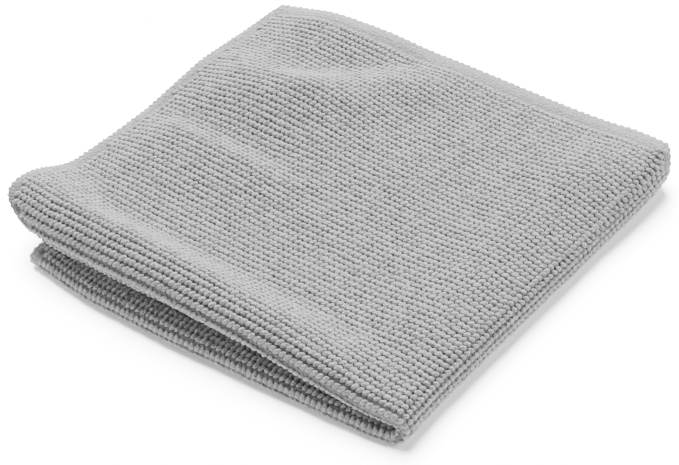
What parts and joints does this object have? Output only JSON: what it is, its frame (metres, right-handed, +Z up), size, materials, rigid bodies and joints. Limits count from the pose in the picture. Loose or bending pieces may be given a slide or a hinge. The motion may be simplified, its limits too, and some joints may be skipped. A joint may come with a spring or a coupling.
{
  "type": "microfibre cloth",
  "caption": "Square pearl-knit microfibre cleaning cloth folded in quarters and lying flat, with a fat rolled front fold, a wrapped side fold and open hemmed edges behind",
  "frame": {"origin": "centre of the bounding box seen from above, at the level of the surface the cloth rests on", "axes": "+Z up. -Y is the front, where the two rolled folds show one above the other. +X is the side that the second fold wraps round. The open hemmed edges are at +Y and -X."},
  "size_m": [0.1962, 0.1972, 0.0247],
  "materials": {
    "knit": "matt light grey microfibre pearl knit with a fine soft pile"
  },
  "bodies": {
    "root": {"cloth": "knit"}
  },
  "joints": []
}
